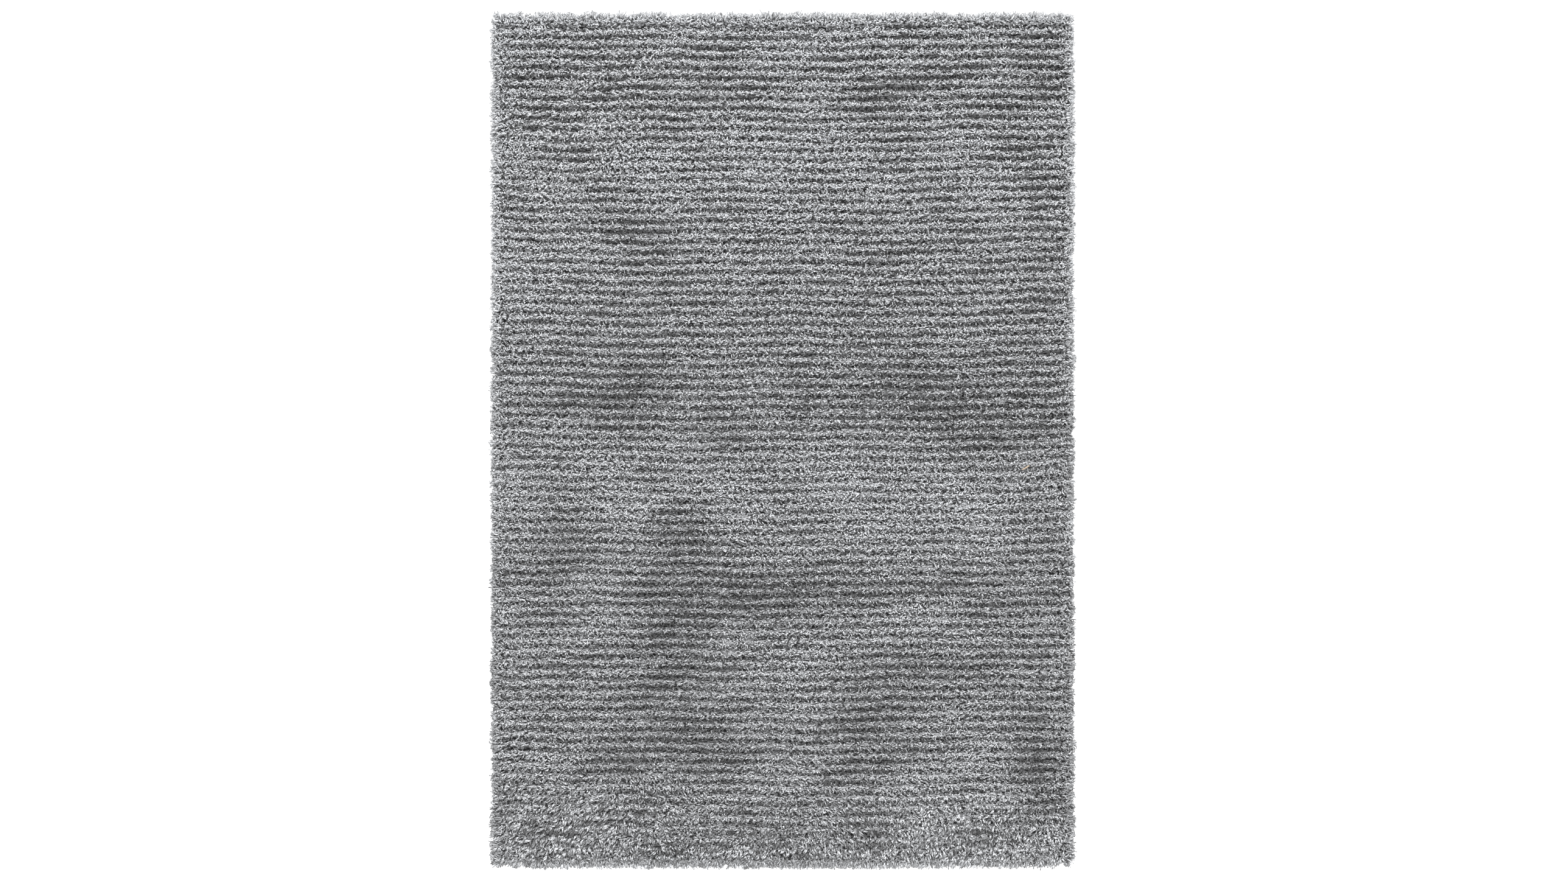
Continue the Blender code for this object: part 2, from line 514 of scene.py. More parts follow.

# How much shade is painted into the furrows, how much more for each metre from a start towards the far
# end, and how that swings in waves of these lengths, shorter along the rug. Then how steeply the painted
# shade falls into them, and how combing and the ends lighten them.
FURROW_SHADE = 0.32
FAR_FURROW_SHADE = 0.38
FAR_START = -0.1
FURROW_SWING = 0.45
FURROW_RIPPLES = (0.13, 0.29)
FURROW_STRETCH = 3
FURROW_POWER = 1.5
COMBED_FURROW = 0.3
END_FURROW_REACH = 0.017

# How much of the painted root shade a yarn is spared at the edge and on top of a soft row. Elsewhere
# its root is dark with it.
EDGE_SPARED_SHADE = 0.95
SOFT_SPARED_SHADE = 0.40

# The bare floor lights the pile near the edge: how much, and how far in.
EDGE_LIGHT = 0.17
SIDE_LIGHT_REACH = 0.034
END_LIGHT_REACH = 0.020


class Tufts(NamedTuple):
    """The tuft that each yarn on top stands in, as arrays.

    Each has its row, its place across and along the rug before the drift, how far its row bends there,
    the share of its yarns that lie backward, the painted shade of its furrow, and how soft its pile is.
    """

    row: np.ndarray
    x: np.ndarray
    middle: np.ndarray
    bend: np.ndarray
    backward: np.ndarray
    furrow: np.ndarray
    soft: np.ndarray


class Roots(NamedTuple):
    """Where each yarn on top is rooted, as arrays.

    Each has its place, its place along the rug before the drift, how far off its row's middle it lies,
    and how much the pile is combed there.
    """

    x: np.ndarray
    y: np.ndarray
    nominal: np.ndarray
    off: np.ndarray
    combed: np.ndarray


def edge_pull(x, y):
    """A vector that points off the rug, for the pile near the ground's edge."""
    side = SIDE_PULL * edge_share(GROUND_WIDTH / 2 - np.abs(x), SIDE_PULL_REACH) * np.sign(x)
    end = END_PULL * edge_share(GROUND_LENGTH / 2 - np.abs(y), END_PULL_REACH) * np.sign(y)
    return np.stack([side, end], axis=-1)


def edge_light(x, y):
    """How much lighter the pile is near the edge, where the bare floor lights it."""
    near_side = edge_share(GROUND_WIDTH / 2 - np.abs(x), SIDE_LIGHT_REACH)
    near_end = edge_share(GROUND_LENGTH / 2 - np.abs(y), END_LIGHT_REACH)
    return EDGE_LIGHT * np.maximum(near_side, near_end)


def make_tufts():
    """The tufts of the yarns on top, row after row and from left to right."""
    per_row = round(GROUND_WIDTH / TUFT_STEP)
    tuft = np.arange(ROWS * per_row)
    row = tuft // per_row
    x = ((tuft % per_row + 0.5) / per_row - 0.5) * TUFT_SPAN
    middle = (row + 0.5) * ROW_PITCH - GROUND_LENGTH / 2
    bend = row_jitter(row, x)
    backward = 0.5 + BACKWARD_SWING * ripples(x, middle, BACKWARD_RIPPLES)
    deepest = FURROW_SHADE + FAR_FURROW_SHADE * np.clip(middle - FAR_START, 0, 1)
    furrow = deepest * (1 + FURROW_SWING * ripples(x, FURROW_STRETCH * middle, FURROW_RIPPLES))
    soft = 1 - patch_strength(CRISP_PATCH, x, middle)
    tufts = (row, x, middle, bend, backward, furrow, soft)
    return Tufts(*(np.repeat(part, YARNS_PER_TUFT) for part in tufts))


def make_roots(tuft):
    """The places where the yarns on top are rooted, crowded towards the middle of their row."""
    total = len(tuft.row)
    combed = combed_share(tuft.x, tuft.middle)
    spot = even_spread(tuft.row, PLACE_STEP)
    crowd = CROWD + FAR_CROWD * np.clip(tuft.middle, 0, 1)
    crowded = spot * (1 - crowd + crowd * spot**2)
    off = ROOT_SPREAD * (crowded + COMBED_SPREAD * combed * (spot - crowded))
    per_row = total // ROWS
    along = (np.arange(total) % per_row + 0.5) / per_row - 0.5
    half_wide = GROUND_WIDTH / 2 - ROOT_MARGIN
    half_long = GROUND_LENGTH / 2 - ROOT_MARGIN
    x = np.clip(along * TUFT_SPAN + rng.normal(0, ROOT_STRAY, total), -half_wide, half_wide)
    nominal = np.clip(tuft.middle + off, -half_long, half_long)
    inside = np.clip((GROUND_LENGTH / 2 - np.abs(nominal)) / END_FADE, 0, 1)
    y = nominal + (row_shift(x, nominal) + tuft.bend) * inside
    return Roots(x, y, nominal, off, combed)


def lock_numbers(row, x, off, kind):
    """Which lock of its row each yarn belongs to: flat locks that lie along the row in some lines."""
    sway = LOCK_SWAY * np.sin(math.tau * (x / LOCK_SWAY_LENGTH + rng.random(ROWS)[row]))
    slot = np.floor((off + sway) * kind.lines / ROW_PITCH) + kind.lines // 2
    line = kind.lines * row + np.clip(slot, 0, kind.lines - 1).astype(int)
    start = rng.random(kind.lines * ROWS)[line]
    place = np.floor((x + GROUND_WIDTH / 2) / kind.length + start).astype(int)
    return line * (place.max() + 1) + place


def part_locks(tuft, root):
    """The lock of each yarn on top: one of the small ones, or of the bigger where it is combed."""
    small = lock_numbers(tuft.row, root.x, root.off, ROW_LOCKS)
    big = lock_numbers(tuft.row, root.x, root.off, COMBED_LOCKS)
    return np.where(root.combed > COMBED_ENOUGH, small.max() + 1 + big, small)


def lean_field(x, y, sway, stray):
    """The way the pile lies: along the rows by nature, turned by the patches."""
    vector = flat_vectors(sway)
    for lean in LEANS:
        pull = (lean.pull * patch_strength(lean, x, y))[:, None]
        vector = vector * (1 - pull) + pull * flat_vectors(math.radians(lean.heading) + stray)
    return vector


def row_side(root):
    """How far off its row's middle a yarn is rooted, from -1 to 1 for the two furrows."""
    return root.off / (ROW_PITCH / 2)


def head_field(tuft, root, turn):
    """The heading of each yarn on top, and how much the ground's edge pulls it over, from 0 to 1."""
    total = len(turn)
    flip = math.pi * (rng.random(total) < tuft.backward)
    stray = math.radians(LOCK_TURN) * turn
    sway = flip + stray + rng.normal(0, math.radians(YARN_TURN), total)
    lean = lean_field(root.x, root.y, sway, stray)
    wild = rng.random(total) * math.tau
    felt = LEAST_PULL + (1 - LEAST_PULL) * rng.random(total)
    pull = edge_pull(root.x, root.y) * felt[:, None]
    fan = np.stack([np.zeros(total), FAN * row_side(root) * (1 - root.combed)], axis=-1)
    vector = lean + WILD * flat_vectors(wild) + fan + pull
    edge = np.clip(np.linalg.norm(pull, axis=1) / END_PULL, 0, 1)
    return np.arctan2(vector[:, 1], vector[:, 0]), edge


def field_tone(tuft, root, edge, shade, middle_y):
    """How light each yarn on top is, with painted shade in its furrow, painted light near the edge and the
    clouds' painted light and shade. middle_y is where its middle lies along the rug.
    """
    combed = root.combed
    tone = TONE + edge_light(root.x, root.y) + (LOCK_TONE + COMBED_LOCK_TONE * combed) * shade
    grain = (GRAIN - SOFT_GRAIN * tuft.soft) * (1 - COMBED_GRAIN * combed) * (1 - EDGE_GRAIN * edge)
    tone += even_spread(tuft.row, TONE_STEP) * grain
    # Painted shade: the nearer the yarn's middle lies to a furrow, the darker it is painted.
    drift = root.y - root.nominal
    over = (middle_y - drift - tuft.middle) / (ROW_PITCH / 2)
    low = (0.5 - 0.5 * np.cos(math.pi * over)) ** FURROW_POWER
    low *= 1 - COMBED_FURROW * combed
    low *= 1 - edge_share(GROUND_LENGTH / 2 - np.abs(root.y), END_FURROW_REACH)
    # Less the furrow's painted shade, with combing's tone and the clouds' painted light and shade.
    return tone - tuft.furrow * low + COMBED_TONE * combed + cloud_light_and_shade(root.x, root.y)


def field_yarns():
    """The pile on top: rows of tufts whose yarns part into small flat locks."""
    tuft = make_tufts()
    root = make_roots(tuft)
    lock = part_locks(tuft, root)
    turn, shade, lift, size = lock_draws(lock, 4)
    angle, edge = head_field(tuft, root, turn)
    total = len(lock)
    combed = root.combed
    rise = np.radians(rng.normal(RISE, RISE_STRAY, total) - COMBED_RISE * combed) * (1 - EDGE_RISE * edge)
    bend = np.radians(rng.normal(BEND, BEND_STRAY, total))
    curl = rng.normal(0, math.radians(CURL_STRAY), total)
    curl *= (1 - EDGE_CURL * edge) * (1 - COMBED_CURL * combed)
    length = YARN_LENGTH * vary(total, stray=0.16, least=0.6, most=1.4)
    length *= 1 + combed * (COMBED_LENGTH + COMBED_LENGTH_STRAY * size) + EDGE_LENGTH * edge
    height = bed_height(root.x, root.nominal) - ROOT_DEPTH + LOCK_LIFT * lift
    base = np.stack([root.x, root.y, height], axis=-1)
    knee, tip = bend_yarns(base, angle, (rise, rise - bend), curl, length)
    knee = gather(knee, lock, (KNEE_GATHER + COMBED_KNEE_GATHER * combed)[:, None])
    tip = gather(tip, lock, (TIP_GATHER + COMBED_TIP_GATHER * combed)[:, None])
    tone = field_tone(tuft, root, edge, shade, (knee[:, 1] + tip[:, 1]) / 2)
    radius = YARN_RADIUS * vary(total, stray=0.10, least=0.7, most=1.3) * (1 + COMBED_RADIUS * combed)
    # Roots spared the painted root shade: at the edge, where they lie open to the light, and on soft rows.
    soft_spared_shade = SOFT_SPARED_SHADE * tuft.soft * (1 - row_side(root) ** 2) * (1 - combed)
    spared_root_shade = np.maximum(EDGE_SPARED_SHADE * edge, soft_spared_shade)
    return Yarns(base, knee, tip, radius, rng.random(total) * math.tau, tone, spared_root_shade)


# ---------------------------------------------------------------- the pile round the rim

# The step from root to root, how far in they lie, and the heights of their storeys. The uppermost are
# rooted further in on the long sides, among the pile on top.
RIM_STEP = 0.0038
RIM_INSET = 0.004
RIM_STRAY = 0.0018
RIM_STOREYS = (0.004, 0.008, 0.012, 0.016, 0.020, 0.024, 0.027)
STOREY_STRAY = 0.0014
LOWEST_ROOT = 0.0025
RIM_OVERLAP = 0.018

# Above this height the rim's yarns stand more and more upright, over so much height.
UPRIGHT_FROM = 0.019
UPRIGHT_OVER = 0.006

# The rim's locks: how likely one ends at each root, and how many roots it has at most. Their tips are
# drawn to the lock's middle, less so in height.
RIM_SPLIT = 0.32
RIM_LOCK_ROOTS = 5
RIM_GATHER = 0.35 * np.array([1.0, 1.0, 0.2])

# How the rim's yarns head: outward, less so the uppermost, and at random. Their locks turn by degrees.
RIM_OUT = 1.5
RIM_WILD = 0.8
RIM_LOCK_TURN = 18

# How they stand, in degrees: the rise of their lower and upper parts, what each gains where they stand
# upright, and how far they curl aside.
RIM_RISE = 10
RIM_UPRIGHT_RISE = 38
RIM_FALL = -30
RIM_UPRIGHT_FALL = 30
RIM_RISE_STRAY = 12
RIM_CURL_STRAY = 50

# Their length, what it gains at both ends and at the far end, how it follows the rows, and how much it
# differs from lock to lock.
RIM_LENGTH = 0.0205
END_LENGTH = 0.0055
FAR_END_LENGTH = 0.0015
LOBE_LENGTH = 0.15
RIM_LOCK_LENGTH = 0.17

# Their tone at a middle height, how it changes at the ends, along the rows, from lock to lock, from yarn
# to yarn and for each metre of height. The far end's change is painted shade where the light falls from
# that end, the change along the rows is painted shade in the furrows and light on the crests, and the
# rise with height leaves painted shade towards the floor. Their roots are spared more of the painted
# root shade the higher they lie, up to one height.
RIM_TONE = 0.49
END_TONE = -0.08
FAR_END_TONE = -0.03
LOBE_TONE = 0.06
RIM_LOCK_TONE = 0.06
RIM_TONE_STRAY = 0.05
RIM_TONE_RISE = 6
RIM_MIDDLE = 0.012
RIM_SPARED_SHADE = 0.30
RIM_SPARED_SHADE_GAIN = 0.45
RIM_SPARED_SHADE_HEIGHT = 0.024


def rim_spots():
    """Places round the ground's edge: each one, the way outward, and whether it starts a side."""
    sizes = (GROUND_WIDTH, GROUND_LENGTH)
    spots, outs, starts = [], [], []
    for sign in (-1, 1):
        for across in (0, 1):
            half = sizes[1 - across] / 2
            run = np.arange(-half, half, RIM_STEP)
            spot = np.zeros((len(run), 2))
            spot[:, 1 - across] = run
            spot[:, across] = sign * (sizes[across] / 2 - RIM_INSET)
            out = np.zeros((len(run), 2))
            out[:, across] = sign
            spots.append(spot)
            outs.append(out)
            starts.append(np.arange(len(run)) == 0)
    return np.concatenate(spots), np.concatenate(outs), np.concatenate(starts)


def rim_yarns():
    """Pile that hangs over the ground's edge all round, in storeys down to the floor."""
    spot, out, new_side = rim_spots()
    count = len(spot)
    many = np.repeat(np.arange(count), len(RIM_STOREYS))
    total = len(many)
    level = np.tile(RIM_STOREYS, count) + rng.normal(0, STOREY_STRAY, total)
    level = np.maximum(level, LOWEST_ROOT)
    upright = np.clip((level - UPRIGHT_FROM) / UPRIGHT_OVER, 0, 1)
    away = out[many]
    at_end = np.abs(away[:, 1])
    at_far_end = away[:, 1] > 0

    inward = RIM_OVERLAP * upright * (1 - at_end) * rng.random(total)
    base = spot[many] - away * inward[:, None] + rng.normal(0, RIM_STRAY, (total, 2))
    split = (rng.random(count) < RIM_SPLIT) | (np.arange(count) % RIM_LOCK_ROOTS == 0)
    lock = np.cumsum(new_side | split)[many]
    turn, shade, size = lock_draws(lock, 3)
    wild = rng.random(total) * math.tau
    vector = away * (RIM_OUT - upright)[:, None] + RIM_WILD * flat_vectors(wild)
    angle = np.arctan2(vector[:, 1], vector[:, 0]) + math.radians(RIM_LOCK_TURN) * turn
    rise = np.radians(rng.normal(RIM_RISE, RIM_RISE_STRAY, total) + RIM_UPRIGHT_RISE * upright)
    fall = np.radians(rng.normal(RIM_FALL, RIM_RISE_STRAY, total) + RIM_UPRIGHT_FALL * upright)

    row_turn = (base[:, 1] - row_shift(base[:, 0], base[:, 1]) + GROUND_LENGTH / 2) / ROW_PITCH
    lobe = -np.cos(math.tau * row_turn) * (1 - at_end)
    length = RIM_LENGTH + END_LENGTH * at_end + FAR_END_LENGTH * at_far_end
    length *= 1 + LOBE_LENGTH * lobe
    length *= vary(total, stray=0.12, least=0.5, most=1.5)
    length *= np.clip(1 + RIM_LOCK_LENGTH * size, 0.7, 1.5)
    curl = rng.normal(0, math.radians(RIM_CURL_STRAY), total)
    root = np.column_stack([base, level])
    knee, tip = bend_yarns(root, angle, (rise, fall), curl, length)
    tip = gather(tip, lock, RIM_GATHER)

    # Painted shade: darker at the far end against its light, in the furrows and towards the floor.
    tone = RIM_TONE + END_TONE * at_end + FAR_END_TONE * at_far_end + LOBE_TONE * lobe
    tone += RIM_LOCK_TONE * shade + rng.normal(0, RIM_TONE_STRAY, total)
    tone += RIM_TONE_RISE * (level - RIM_MIDDLE) + cloud_light_and_shade(base[:, 0], base[:, 1])
    radius = YARN_RADIUS * vary(total, stray=0.10, least=0.7, most=1.5, middle=1.2)
    spared_root_shade = RIM_SPARED_SHADE + RIM_SPARED_SHADE_GAIN * np.clip(level / RIM_SPARED_SHADE_HEIGHT, 0, 1)
    return Yarns(root, knee, tip, radius, rng.random(total) * math.tau, tone, spared_root_shade)


# ---------------------------------------------------------------- meshes of yarns

# The strands are three-sided. Their palette map has the tone across, with a band of it for the way
# round the yarn, and the height along the yarn upward, both held a little inside the palette.
SIDES = 3
TONE_BAND = 0.016
PALETTE_LOW = 0.02
PALETTE_SPAN = 0.96


def around(centre, direction, radius, roll, turns):
    """Points round the yarn, square to its direction, at each of some turns from its roll."""
    direction = direction / np.linalg.norm(direction, axis=1, keepdims=True)
    up = np.where(np.abs(direction[:, 2:]) > 0.9, [[1.0, 0.0, 0.0]], [[0.0, 0.0, 1.0]])
    side = np.cross(direction, up)
    side /= np.linalg.norm(side, axis=1, keepdims=True)
    over = np.cross(side, direction)
    points = []
    for turn in turns:
        angle = roll + math.tau * turn
        arm = side * np.cos(angle)[:, None] + over * np.sin(angle)[:, None]
        points.append(centre + arm * radius[:, None])
    return points


def ring(centre, direction, radius, roll):
    """The points of a yarn's ring."""
    return around(centre, direction, radius, roll, [i / SIDES for i in range(SIDES)])


def edge_points(centre, direction, radius, roll):
    """The two ends of the edge that closes a yarn."""
    return around(centre, direction, radius, roll, [0.0, 0.5])


def bent_yarn_pattern():
    """Corners of a yarn with a root, a ring at its knee and a blunt tip, each with its turn and height."""
    faces = []
    for i in range(SIDES):
        j = (i + 1) % SIDES
        turn, after = i / SIDES, (i + 1) / SIDES
        faces.append(((0, (turn + after) / 2, 0.0), (1 + j, after, 0.5), (1 + i, turn, 0.5)))
    first, second, third = (1, 0.0, 0.5), (2, 1 / 3, 0.5), (3, 2 / 3, 0.5)
    near, far = (4, 0.0, 1.0), (5, 0.5, 1.0)
    faces += [(first, second, near), (second, far, near), (second, third, far)]
    faces += [(third, (1, 1.0, 0.5), (4, 1.0, 1.0)), (third, (4, 1.0, 1.0), far)]
    return faces


def short_yarn_pattern():
    """Corners of a short yarn: a narrow wedge with an edge at its root and one square to it at its tip."""
    return [
        ((0, 0.0, 0.0), (1, 0.5, 0.0), (2, 0.25, 1.0)),
        ((1, 0.5, 0.0), (0, 1.0, 0.0), (3, 0.75, 1.0)),
        ((0, 0.0, 0.0), (2, 0.25, 1.0), (3, -0.25, 1.0)),
        ((1, 0.5, 0.0), (3, 0.75, 1.0), (2, 0.25, 1.0)),
    ]


def weave_mesh(yarns, bent):
    """Points, corners and palette places of many yarns of one pattern."""
    whole = yarns.tip - yarns.root
    if bent:
        knee = ring(yarns.knee, whole, yarns.radius, yarns.roll)
        tip = edge_points(yarns.tip, yarns.tip - yarns.knee, TIP_SHARE * yarns.radius, yarns.roll)
        stack = [yarns.root, *knee, *tip]
        pattern = bent_yarn_pattern()
    else:
        start = edge_points(yarns.root, whole, WEDGE_SHARE * yarns.radius, yarns.roll)
        end = edge_points(yarns.tip, whole, WEDGE_SHARE * yarns.radius, yarns.roll + math.pi / 2)
        stack = [*start, *end]
        pattern = short_yarn_pattern()
    points = np.stack(stack, axis=1).reshape(-1, 3)
    number, turn, height = np.array([corner for face in pattern for corner in face]).T
    corners = np.arange(len(yarns.root))[:, None] * len(stack) + number.astype(int)
    tone = PALETTE_LOW + PALETTE_SPAN * np.clip(yarns.tone, 0, 1)
    u = tone[:, None] + (turn - 0.5) * TONE_BAND
    # A spared root starts further up the palette, so less painted root shade reaches it.
    spared_root_shade = yarns.spared_root_shade[:, None]
    v = PALETTE_LOW + PALETTE_SPAN * (spared_root_shade + (1 - spared_root_shade) * height)
    uv = np.stack([u, v], axis=-1).reshape(-1, 2)
    return points, corners.ravel(), uv


def pile_piece(name, bent, short, material):
    """One mesh of many bent and short yarns."""
    points_a, corners_a, uv_a = weave_mesh(bent, True)
    points_b, corners_b, uv_b = weave_mesh(short, False)
    points = np.concatenate([points_a, points_b])
    corners = np.concatenate([corners_a, corners_b + len(points_a)])
    uv = np.concatenate([uv_a, uv_b])
    return new_mesh(name, points, corners, np.full(len(corners) // 3, 3), material, uv)


# ---------------------------------------------------------------- bed, ground cloth and snip


def grid_faces(wide, long):
    """Corners of the four-sided faces of a grid of points, row by row."""
    i, j = np.meshgrid(np.arange(wide - 1), np.arange(long - 1), indexing="xy")
    a = (j * wide + i).ravel()
    return np.stack([a, a + 1, a + 1 + wide, a + wide], axis=-1)


def grid_rim(wide, long):
    """The points round a grid, counterclockwise seen from above."""
    bottom = np.arange(wide)
    right = np.arange(1, long) * wide + wide - 1
    top = (long - 1) * wide + np.arange(wide - 2, -1, -1)
    left = np.arange(long - 2, 0, -1) * wide
    return np.concatenate([bottom, right, top, left])


def slab(name, x, y, z, low, material, smooth=True):
    """A closed slab whose top is the grid z over x and y, and whose flat bottom is at low."""
    long, wide = z.shape
    top = np.stack([x.ravel(), y.ravel(), z.ravel()], axis=-1)
    rim = grid_rim(wide, long)
    foot = top[rim].copy()
    foot[:, 2] = low
    quads = grid_faces(wide, long)
    after = np.roll(np.arange(len(rim)), -1)
    below = len(top) + np.arange(len(rim))
    walls = np.stack([rim, below, below[after], rim[after]], axis=-1)
    bottom = below[::-1]
    corners = np.concatenate([quads.ravel(), walls.ravel(), bottom])
    sizes = np.concatenate([np.full(len(quads) + len(walls), 4), [len(bottom)]])
    return new_mesh(name, np.concatenate([top, foot]), corners, sizes, material, smooth=smooth)


def make_bed(material):
    """The bed of roots, ribbed as the rows are and dark with painted shade."""
    half = GROUND_WIDTH / 2 - BED_INSET
    far = GROUND_LENGTH / 2 - BED_INSET
    across = np.linspace(-half, half, BED_COLUMNS + 1)
    lines = np.linspace(-far, far, ROWS * BED_LINES_PER_ROW + 1)
    x, nominal = np.meshgrid(across, lines)
    inside = np.clip((far - np.abs(nominal)) / ROW_PITCH, 0, 1)
    y = nominal + row_shift(x, nominal) * inside
    return slab("pile_bed", x, y, bed_height(x, nominal), BED_FOOT, material)


def make_cloth(material):
    """The woven ground seen from below."""
    across = np.linspace(-CLOTH_WIDTH / 2, CLOTH_WIDTH / 2, CLOTH_COLUMNS + 1)
    lines = np.linspace(-CLOTH_LENGTH / 2, CLOTH_LENGTH / 2, CLOTH_LINES + 1)
    x, y = np.meshgrid(across, lines)
    z = np.full_like(x, CLOTH_THICKNESS)
    return slab("ground_cloth", x, y, z, 0.0, material, smooth=False)


# The corners of the snip's cross-section, as signs across it and upward.
SNIP_CORNERS = ((-1, -1), (1, -1), (1, 1), (-1, 1))


def make_snip(material):
    """The tan snip that lies on the pile near its right side: a thin strip, bent a little."""
    heading = math.radians(SNIP_HEADING)
    forward = np.array([math.cos(heading), math.sin(heading)])
    aside = np.array([-forward[1], forward[0]])
    each = len(SNIP_CORNERS)
    points, quads = [], []
    for number, (run, bend, rise, half) in enumerate(SNIP_RIBS):
        middle = np.array(SNIP_MIDDLE) + forward * run + aside * bend
        for side, height in SNIP_CORNERS:
            place = middle + aside * side * half
            points.append((*place, SNIP_LEVEL + rise + height * SNIP_THICKNESS / 2))
        if number:
            start = each * (number - 1)
            for i in range(each):
                j = (i + 1) % each
                quads.append((start + i, start + each + i, start + each + j, start + j))
    last = each * (len(SNIP_RIBS) - 1)
    quads += [(0, 1, 2, 3), (last + 3, last + 2, last + 1, last)]
    corners = np.array(quads).ravel()
    return new_mesh("tan_snip", points, corners, np.full(len(quads), 4), material, smooth=False)


# ---------------------------------------------------------------- materials

# The colours of each ramp, from its low to its high places, in linear light.
YARN_TONES = (
    (0.00, (0.050, 0.050, 0.050)),
    (0.25, (0.267, 0.271, 0.278)),
    (0.50, (0.523, 0.533, 0.548)),
    (0.75, (0.596, 0.607, 0.625)),
    (1.00, (0.623, 0.641, 0.667)),
)
# Painted shade along a yarn from root to tip: dark at its root, deep in the pile, full in its middle and
# dimmer at its tip to tone down the strong light there.
YARN_DEPTH_SHADE = (
    (0.00, (0.06, 0.06, 0.06)),
    (0.25, (0.42, 0.42, 0.42)),
    (0.50, (1.00, 1.00, 1.00)),
    (0.80, (0.90, 0.90, 0.90)),
    (1.00, (0.70, 0.70, 0.70)),
)
# The bed's tones are dark with painted shade, deep in the pile.
BED_SHADED_TONES = (
    (0.44, (0.012, 0.012, 0.013)),
    (0.58, (0.225, 0.228, 0.235)),
)
# The weave's tones, from the painted shade at a thread's sides to painted light on its top.
CLOTH_TONES_AND_SHADE = (
    (0.05, (0.130, 0.129, 0.126)),
    (0.50, (0.360, 0.355, 0.346)),
    (1.00, (0.520, 0.512, 0.495)),
)
SNIP_TONES = (
    (0.35, (0.23, 0.18, 0.13)),
    (0.65, (0.33, 0.26, 0.19)),
)

# A yarn's ply turns so often over its length, and swings its colour round a middle shade: painted shade
# in its grooves and painted light on its turns.
YARN_TWISTS = 4.0
TWIST_SHADE = 0.88
TWIST_SWING = 0.24

# The curls of the bed in each metre, drawn out along the rows, and its painted shade in furrows and on
# crests.
BED_CURLS = 230.0
BED_STRETCH = (0.5, 1.0, 1.0)
FURROW_LIGHT = 0.65
CREST_LIGHT = 1.45

# How sharply a thread of the weave rounds off, its fuzz in each metre, and the snip's mottling.
THREAD_ROUND = 0.6
FUZZ = 90.0
MOTTLES = 600.0


def new_material(name):
    """A new material with its shader, nodes and links."""
    material = bpy.data.materials.new(name)
    material.use_nodes = True
    nodes = material.node_tree.nodes
    return material, nodes["Principled BSDF"], nodes, material.node_tree.links


def link_math(nodes, links, operation, *values):
    """A Math node fed by sockets or numbers. Returns its output."""
    node = nodes.new("ShaderNodeMath")
    node.operation = operation
    for slot, value in zip(node.inputs, values):
        if isinstance(value, (int, float)):
            slot.default_value = value
        else:
            links.new(value, slot)
    return node.outputs[0]


def link_ramp(nodes, links, stops, value):
    """A colour ramp over a value. Each stop is a place and a colour. Returns its colour."""
    ramp = nodes.new("ShaderNodeValToRGB")
    elements = ramp.color_ramp.elements
    while len(elements) > 1:
        elements.remove(elements[-1])
    elements[0].position, elements[0].color = stops[0][0], (*stops[0][1], 1)
    for place, colour in stops[1:]:
        elements.new(place).color = (*colour, 1)
    links.new(value, ramp.inputs[0])
    return ramp.outputs[0]


def link_product(nodes, links, first, second):
    """Two colours multiplied. Returns their product."""
    mix = nodes.new("ShaderNodeMix")
    mix.data_type = "RGBA"
    mix.blend_type = "MULTIPLY"
    mix.inputs["Factor"].default_value = 1.0
    links.new(first, mix.inputs[6])
    links.new(second, mix.inputs[7])
    return mix.outputs[2]


def link_noise(nodes, links, place, scale, detail=2.0):
    """A noise over a place. Returns its value."""
    noise = nodes.new("ShaderNodeTexNoise")
    noise.inputs["Scale"].default_value = scale
    noise.inputs["Detail"].default_value = detail
    links.new(place, noise.inputs["Vector"])
    return noise.outputs[0]


def link_bump(nodes, links, shader, height, strength, distance):
    """A bump of the shader's surface from a height."""
    bump = nodes.new("ShaderNodeBump")
    bump.inputs["Strength"].default_value = strength
    bump.inputs["Distance"].default_value = distance
    links.new(height, bump.inputs["Height"])
    links.new(bump.outputs[0], shader.inputs["Normal"])


def split_place(nodes, links, place):
    """The parts of a place along X, Y and Z."""
    split = nodes.new("ShaderNodeSeparateXYZ")
    links.new(place, split.inputs[0])
    return split.outputs[0], split.outputs[1], split.outputs[2]


def yarn_material():
    """Silver-grey plied yarn. Its tone and the place along it come from its palette map."""
    material, shader, nodes, links = new_material("pile_yarn")
    places = nodes.new("ShaderNodeUVMap")
    places.uv_map = "OFBake"
    u, v, _ = split_place(nodes, links, places.outputs[0])
    tone = link_ramp(nodes, links, YARN_TONES, u)
    # Painted shade along the yarn, darkest at its root.
    depth_shade = link_ramp(nodes, links, YARN_DEPTH_SHADE, v)
    # Its ply's twist: painted shade in the grooves and light on the turns, with a bump to match.
    turns = link_math(nodes, links, "MULTIPLY", u, 1 / TONE_BAND)
    twist = link_math(nodes, links, "MULTIPLY_ADD", v, YARN_TWISTS, turns)
    wave = link_math(nodes, links, "SINE", link_math(nodes, links, "MULTIPLY", twist, math.tau))
    shade = link_math(nodes, links, "MULTIPLY_ADD", wave, TWIST_SWING, TWIST_SHADE)
    colour = link_product(nodes, links, link_product(nodes, links, tone, depth_shade), shade)
    links.new(colour, shader.inputs["Base Color"])
    link_bump(nodes, links, shader, wave, strength=0.5, distance=0.0004)
    shader.inputs["Roughness"].default_value = 0.55
    shader.inputs["Specular IOR Level"].default_value = 0.25
    shader.inputs["Sheen Weight"].default_value = 0.25
    shader.inputs["Sheen Roughness"].default_value = 0.4
    return material


